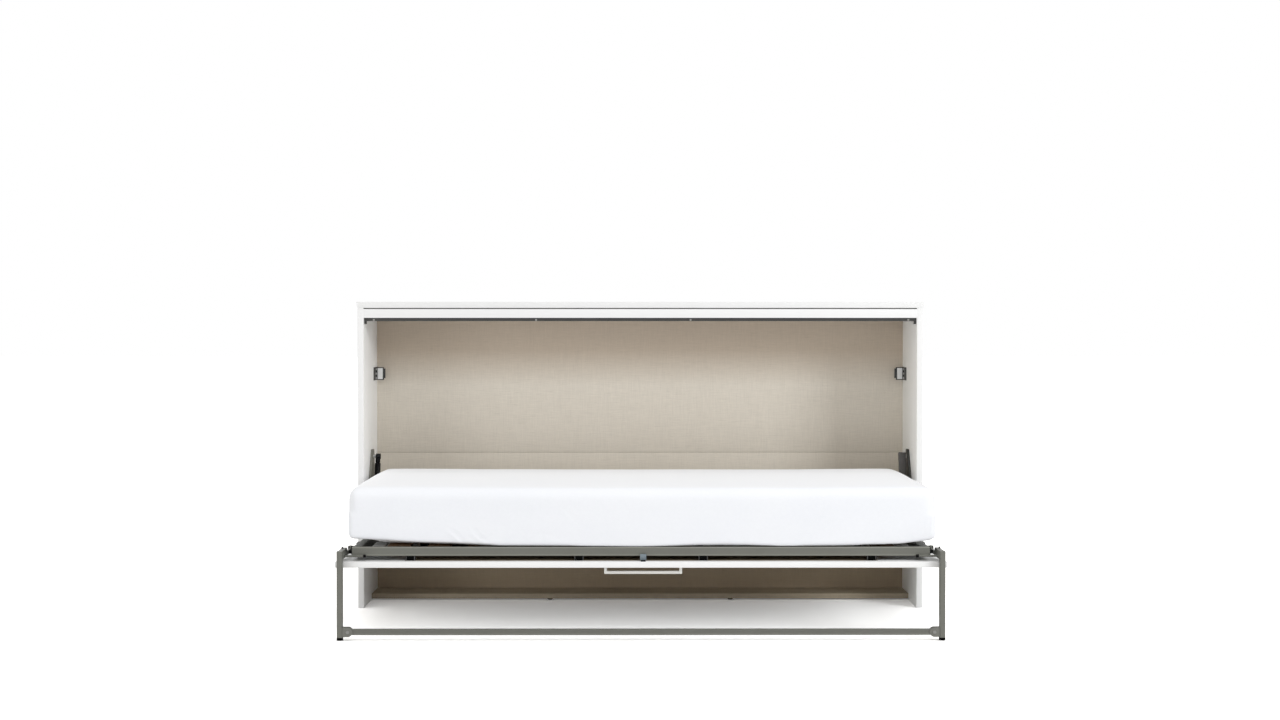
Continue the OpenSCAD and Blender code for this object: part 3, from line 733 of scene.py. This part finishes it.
def hem_rise(x):
    """How far the lower edge of the long sides is drawn up at x."""
    side = 0 if x < 0 else 1
    for (a, *low), (b, *high) in zip(HEM_RISE, HEM_RISE[1:]):
        if abs(x) <= b or b == HEM_RISE[-1][0]:
            t = min(1.0, (abs(x) - a) / (b - a))
            return low[side] + (high[side] - low[side]) * t


def round_edges(p, low, high):
    """Moves a point of the plain box in to the box with rounded edges and corners."""
    if p.z < (low.z + high.z) / 2:
        near_end = rise(abs(p.x), *CORNER_ROUND_ZONE)
        radii = (*LOW_ROUND[:2], LOW_ROUND[2] + (CORNER_ROUND - LOW_ROUND[2]) * near_end)
    else:
        radii = (RIGHT_ROUND if p.x > 0 else TOP_ROUND[0], *TOP_ROUND[1:])
    mid = (low + high) / 2
    q = Vector(p)
    lean = Vector((0.0, 0.0, 0.0))
    for i in range(3):
        reach = (high[i] - low[i]) / 2 - radii[i]
        off = p[i] - mid[i]
        if abs(off) > reach:
            lean[i] = math.copysign(min(1.0, (abs(off) - reach) / radii[i]), off)
            q[i] = mid[i] + math.copysign(reach, off)
    turned = ball(lean)
    return Vector(q[i] + turned[i] * radii[i] for i in range(3))


def mattress_form(p, low, high):
    """Where a point of the plain box goes on the mattress."""
    mid = (low + high) / 2
    q = round_edges(p, low, high)
    # the hem is drawn up towards the corners, and the middle lies flat on the slats
    height = (q.z - low.z) / (high.z - low.z)
    edge = smooth(1.0 - ((high.y - low.y) / 2 - abs(q.y - mid.y)) / HEM_REACH)
    end = END_LIFT * rise(abs(q.x), *END_LIFT_ZONE)
    q.z += (edge * hem_rise(q.x) + (1.0 - edge) * end) * max(0.0, 1.0 - height) ** 2
    # the top is fuller in its middle, and the ends stand out a little between their corners
    across = (q.y - mid.y) / (high.y - low.y) * 2
    q.z += CROWN * height * (1.0 - (q.x / high.x) ** CROWN_END) * (1.0 - across ** 2)
    q.x += math.copysign(END_BULGE, q.x) * rise(abs(q.x), *END_BULGE_ZONE) * (1.0 - across ** 2)
    # the front corners stand out more, which leaves the struts beside the rear ones free
    wider = WIDER_RIGHT if q.x > 0 else WIDER_LEFT
    q.x += math.copysign(wider, q.x) * rise(abs(q.x), *WIDER_ZONE) * rise(-across, *FRONT_ZONE)
    return q


def plain_form(low, high):
    """The mattress as a fine mesh without creases."""
    bm = bmesh.new()
    bmesh.ops.create_cube(bm, size=1.0)
    bmesh.ops.scale(bm, vec=high - low, verts=bm.verts)
    bmesh.ops.translate(bm, vec=(high + low) / 2, verts=bm.verts)
    for axis, count in enumerate(CELLS):
        cut_along(bm, axis, count)
    for v in bm.verts:
        v.co = mattress_form(v.co, low, high)
    bmesh.ops.recalc_face_normals(bm, faces=bm.faces)
    mesh = bpy.data.meshes.new("mattress_sheet")
    bm.to_mesh(mesh)
    bm.free()
    piece = bpy.data.objects.new("mattress_sheet", mesh)
    scene.collection.objects.link(piece)
    return piece


def evaluated(piece):
    """The object as its modifiers make it."""
    return piece.evaluated_get(bpy.context.evaluated_depsgraph_get())


def swell(piece, low):
    """The stuffing stretches the sheet, which is held where it lies on the slats."""
    start = [v.co.copy() for v in piece.data.vertices]
    held = piece.vertex_groups.new(name="held")
    lying = [v.index for v in piece.data.vertices if v.co.z < low.z + HELD_HEIGHT]
    held.add(lying, 1.0, "REPLACE")
    cloth = piece.modifiers.new("swell", "CLOTH")
    cloth.settings.quality = 5
    cloth.settings.mass = 0.3
    cloth.settings.tension_stiffness = 12.0
    cloth.settings.compression_stiffness = 12.0
    cloth.settings.shear_stiffness = 6.0
    cloth.settings.bending_stiffness = 0.6
    cloth.settings.use_pressure = True
    cloth.settings.uniform_pressure_force = 4.0
    cloth.settings.effector_weights.gravity = 0.0
    cloth.settings.vertex_group_mass = "held"
    cloth.collision_settings.use_collision = False
    for step in range(1, CLOTH_STEPS + 1):
        scene.frame_set(step)
    moved = evaluated(piece).to_mesh()
    shift = [moved.vertices[i].co - p for i, p in enumerate(start)]
    piece.modifiers.remove(cloth)
    piece.vertex_groups.clear()
    scene.frame_set(1)
    for vertex, p, d in zip(piece.data.vertices, start, shift):
        if d.length > FULLNESS:
            d = d * (FULLNESS / d.length)
        vertex.co = p + d


def finer(piece):
    """One round of subdivision, baked into the mesh."""
    step = piece.modifiers.new("finer", "SUBSURF")
    step.levels = 1
    step.render_levels = 1
    made = bpy.data.meshes.new_from_object(evaluated(piece))
    piece.modifiers.clear()
    piece.data = made


def fold_height(x, z):
    """The relief of the pulled folds at a point of the front: a furrow with a soft ridge beside it."""
    total = 0.0
    for x0, z0, x1, z1, depth, half in FOLDS:
        dx = x1 - x0
        dz = z1 - z0
        length = math.hypot(dx, dz)
        along = ((x - x0) * dx + (z - z0) * dz) / length ** 2
        if -RUN_OUT < along < 1.0 + RUN_OUT:
            wander = WANDER * math.sin(along * WANDER_ANGLE + x0 * WANDER_SHIFT)
            off = ((x - x0) * dz - (z - z0) * dx) / length + wander
            fade = smooth((along + RUN_OUT) / FADE_IN) * smooth((1.0 + RUN_OUT - along) / FADE_OUT)
            ridge = RIDGE_SHARE * math.exp(-((off - RIDGE_PLACE * half) / (RIDGE_WIDTH * half)) ** 2)
            total += depth * fade * (ridge - math.exp(-(off / half) ** 2))
    return total


def waves(place, cells, seed=0.0):
    """Smooth noise from about -1 to 1 with so many cells per metre along X, Y and Z."""
    return noise.noise(Vector((place.x * cells[0], place.y * cells[1], place.z * cells[2] + seed)))


def crumple(piece, low, high):
    """Gathers along the hem and most of all at the corners, pulled folds on the front, slow waves."""
    mesh = piece.data
    mid = (low + high) / 2
    normals = [v.normal.copy() for v in mesh.vertices]
    for v, n in zip(mesh.vertices, normals):
        place = v.co.copy()
        if place.z < low.z + FLAT_HEIGHT and n.z < DOWNWARD:
            continue
        height = (place.z - low.z) / (high.z - low.z)
        upright = smooth((STEEP - abs(n.z)) / STEEP_FADE)
        hem = smooth((GATHER_TOP - height) / GATHER_FADE)
        corner = rise(abs(place.x), *CORNER_ENDS) * rise(abs(place.y - mid.y), *CORNER_SIDES)
        patch = smooth(0.5 + PATCH_CONTRAST * waves(place, PATCH_CELLS, seed=4.0))
        strength = GATHER_LEAST + GATHER_IN_PATCH * patch + GATHER_IN_CORNER * corner
        coarse = GATHER * waves(place, GATHER_CELLS)
        fine = FINE_GATHER * waves(place, FINE_CELLS, seed=7.0)
        out = upright * hem * (coarse + fine) * strength
        out += SLACK * waves(place, SLACK_CELLS)
        facing = rise(-n.y, *FACING_FRONT)
        if facing > 0.0:
            out += fold_height(place.x, place.z) * facing
        v.co = place + n * out
    mesh.update()


def make_mattress():
    """The mattress in its fitted sheet, in place of the plain solid."""
    low, high = (Vector(corner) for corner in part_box("mattress"))
    low = low + Vector(LOW_INSET)
    high = high - Vector(HIGH_INSET)
    piece = plain_form(low, high)
    swell(piece, low)
    finer(piece)
    crumple(piece, low, high)
    smooth_faces(piece.data)
    piece.data.materials.append(cotton("cotton_sheet"))
    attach(piece, "bed")
    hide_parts("mattress")


make_mattress()
